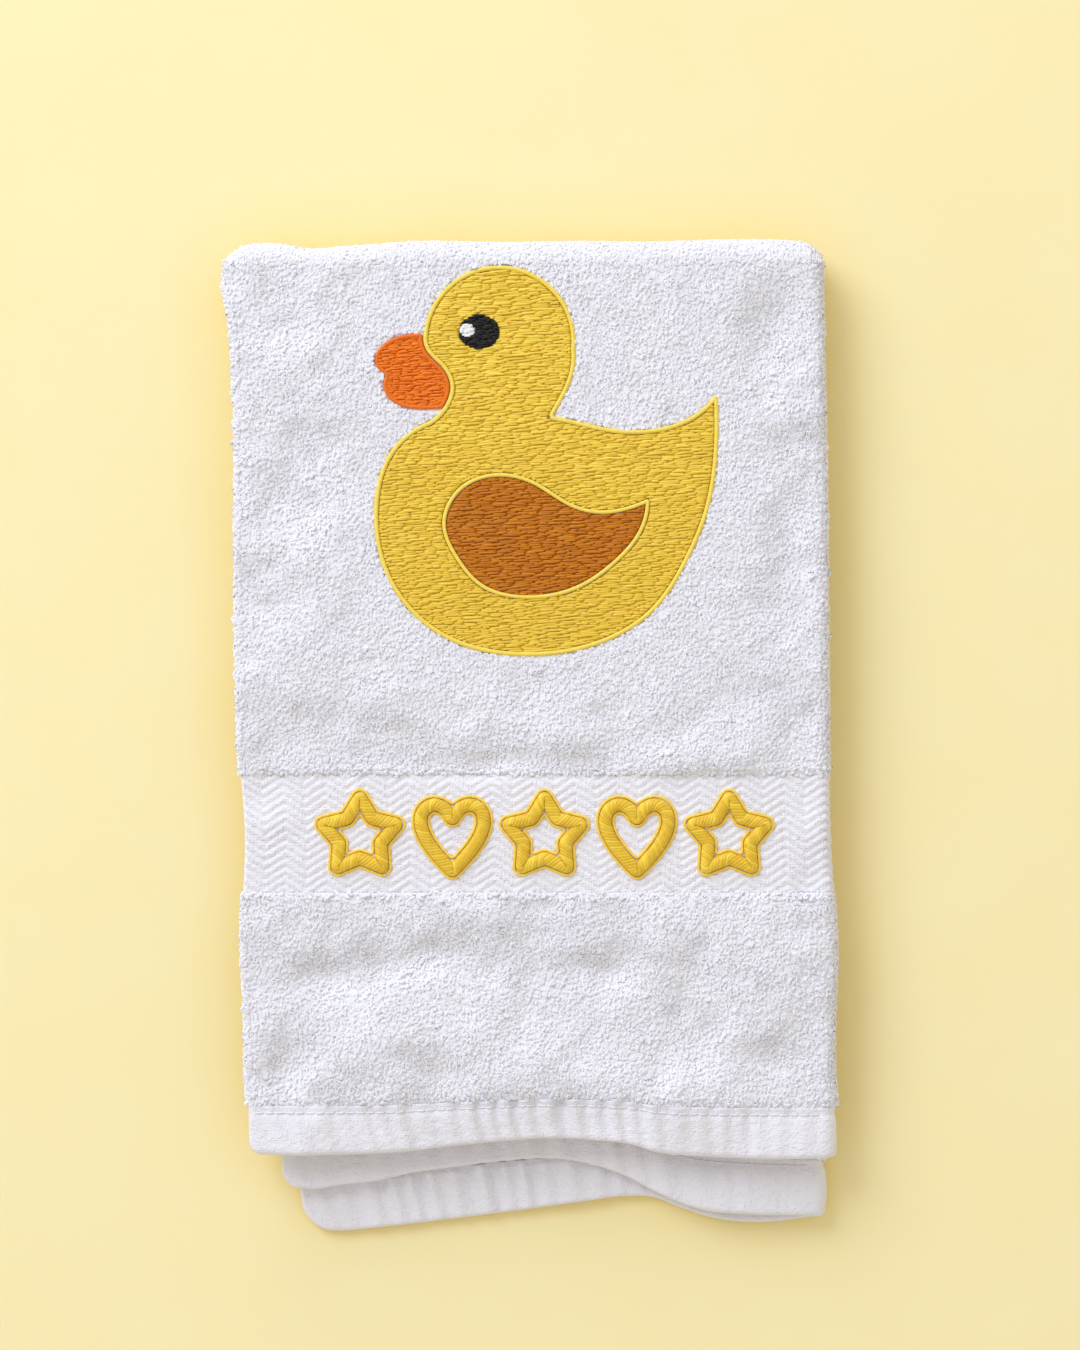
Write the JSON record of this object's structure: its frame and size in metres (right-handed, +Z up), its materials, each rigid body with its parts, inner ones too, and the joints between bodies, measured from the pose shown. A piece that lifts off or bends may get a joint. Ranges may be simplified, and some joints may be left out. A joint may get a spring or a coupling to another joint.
{
  "type": "folded embroidered baby towel",
  "caption": "White cotton terry baby towel folded into a flat rectangle, with an embroidered duck, a herringbone border with raised satin motifs, and plain hems.",
  "frame": {"origin": "under the middle of the folded towel, on the surface it lies on", "axes": "+Y to the crosswise fold above the duck, +X to the lengthwise fold on the right, +Z up out of the embroidered face"},
  "size_m": [0.1581, 0.2567, 0.0172],
  "materials": {
    "terry_white": "cotton terry with cut-free loops, matt",
    "border_white": "herringbone dobby weave, matt",
    "hem_white": "flat plain weave, matt",
    "seam_thread": "spun polyester sewing thread",
    "duck_yellow": "rayon embroidery thread, soft sheen",
    "outline_yellow": "rayon embroidery thread, soft sheen",
    "beak_orange": "rayon embroidery thread, soft sheen",
    "wing_amber": "rayon embroidery thread, soft sheen",
    "eye_black": "rayon embroidery thread, soft sheen",
    "eye_white": "rayon embroidery thread, soft sheen",
    "motif_gold": "rayon satin stitch, soft sheen",
    "backing_white": "non-woven stabiliser, matt",
    "bobbin_thread": "fine polyester thread"
  },
  "bodies": {
    "back_leaf": {"back_lower_terry": "terry_white", "back_upper_terry": "terry_white", "back_border": "border_white", "back_hem": "hem_white", "back_upper_side_hem": "hem_white", "back_lower_side_hem": "hem_white", "back_hem_stitching": "seam_thread", "back_side_hem_stitching": "seam_thread", "top_fold_outer": "terry_white", "top_fold_inner": "terry_white"},
    "front_leaf": {"front_lower_terry": "terry_white", "front_upper_terry": "terry_white", "front_border": "border_white", "front_hem": "hem_white", "front_upper_side_hem": "hem_white", "front_lower_side_hem": "hem_white", "front_hem_stitching": "seam_thread", "front_side_hem_stitching": "seam_thread", "duck_body": "duck_yellow", "duck_outline": "outline_yellow", "duck_wing_outline": "outline_yellow", "duck_beak": "beak_orange", "duck_beak_outline": "beak_orange", "duck_wing": "wing_amber", "duck_eye": "eye_black", "duck_eye_highlight": "eye_white", "border_motif_1": "motif_gold", "border_motif_2": "motif_gold", "border_motif_3": "motif_gold", "border_motif_4": "motif_gold", "border_motif_5": "motif_gold", "duck_backing": "backing_white", "motif_backing": "backing_white", "duck_bobbin_stitching": "bobbin_thread", "motif_bobbin_stitching": "bobbin_thread"}
  },
  "joints": [
    {"name": "front_leaf_open", "type": "hinge", "parent": "back_leaf", "child": "front_leaf", "pos_m": [0, 0.1223, 0.0086], "axis": [-1, 0, 0], "range_deg": [0, 180], "deforming": ["top_fold_outer", "top_fold_inner"]}
  ]
}
